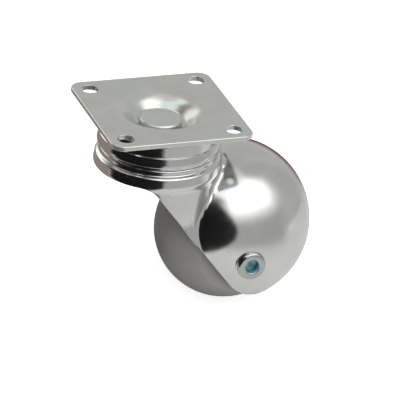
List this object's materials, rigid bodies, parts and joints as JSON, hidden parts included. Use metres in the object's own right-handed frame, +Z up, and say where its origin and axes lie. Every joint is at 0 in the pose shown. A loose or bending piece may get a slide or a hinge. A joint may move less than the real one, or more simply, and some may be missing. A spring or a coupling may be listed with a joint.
{
  "type": "ball castor",
  "caption": "Hooded ball castor: square plate with corner holes, ball-race swivel, chromed pressed hood with a sloping open rim and a grey ball wheel on a riveted axle.",
  "frame": {"origin": "centre of the mounting plate's top face, on the swivel axis", "axes": "+Z up, out of the plate's top face; +X along the trail, from the swivel axis to the wheel; Y along the axle"},
  "size_m": [0.0678, 0.0495, 0.06],
  "materials": {
    "zinc_plate": "zinc plated sheet",
    "zinc_rivet": "zinc plated rivet",
    "chrome_cup": "bright plated pressing",
    "race_steel": "pressed steel",
    "chrome_hood": "bright plated pressing",
    "zinc_axle": "blue zinc plated rivet",
    "sleeve_steel": "drawn tube",
    "washer_nylon": "natural nylon",
    "grey_wheel": "moulded grey plastic",
    "bearing_steel": "polished balls"
  },
  "bodies": {
    "plate": {"mounting_plate": "zinc_plate", "kingpin_rivet": "zinc_rivet", "upper_race_cup": "chrome_cup", "lower_race": "race_steel"},
    "hood": {"hood": "chrome_hood", "axle_rivet": "zinc_axle", "axle_sleeve": "sleeve_steel", "thrust_washer_near": "washer_nylon", "thrust_washer_far": "washer_nylon"},
    "wheel": {"ball_wheel": "grey_wheel"},
    "upper_ball_row": {"upper_ball_01": "bearing_steel", "upper_ball_02": "bearing_steel", "upper_ball_03": "bearing_steel", "upper_ball_04": "bearing_steel", "upper_ball_05": "bearing_steel", "upper_ball_06": "bearing_steel", "upper_ball_07": "bearing_steel", "upper_ball_08": "bearing_steel", "upper_ball_09": "bearing_steel", "upper_ball_10": "bearing_steel", "upper_ball_11": "bearing_steel", "upper_ball_12": "bearing_steel", "upper_ball_13": "bearing_steel", "upper_ball_14": "bearing_steel", "upper_ball_15": "bearing_steel", "upper_ball_16": "bearing_steel", "upper_ball_17": "bearing_steel", "upper_ball_18": "bearing_steel"},
    "lower_ball_row": {"lower_ball_01": "bearing_steel", "lower_ball_02": "bearing_steel", "lower_ball_03": "bearing_steel", "lower_ball_04": "bearing_steel", "lower_ball_05": "bearing_steel", "lower_ball_06": "bearing_steel", "lower_ball_07": "bearing_steel", "lower_ball_08": "bearing_steel", "lower_ball_09": "bearing_steel", "lower_ball_10": "bearing_steel", "lower_ball_11": "bearing_steel", "lower_ball_12": "bearing_steel", "lower_ball_13": "bearing_steel"}
  },
  "joints": [
    {"name": "swivel", "type": "hinge", "parent": "plate", "child": "hood", "pos_m": [0, 0, -0.012], "axis": [0, 0, 1], "continuous": true},
    {"name": "wheel_spin", "type": "hinge", "parent": "hood", "child": "wheel", "pos_m": [0.022, 0, -0.04], "axis": [0, 1, 0], "continuous": true},
    {"name": "upper_row_spin", "type": "hinge", "parent": "plate", "child": "upper_ball_row", "pos_m": [0, 0, -0.009], "axis": [0, 0, 1], "continuous": true},
    {"name": "lower_row_spin", "type": "hinge", "parent": "plate", "child": "lower_ball_row", "pos_m": [0, 0, -0.0143], "axis": [0, 0, 1], "continuous": true}
  ],
  "couplings": [
    {"joint": "upper_row_spin", "follows": "swivel", "ratio": 0.5},
    {"joint": "lower_row_spin", "follows": "swivel", "ratio": 0.5}
  ]
}
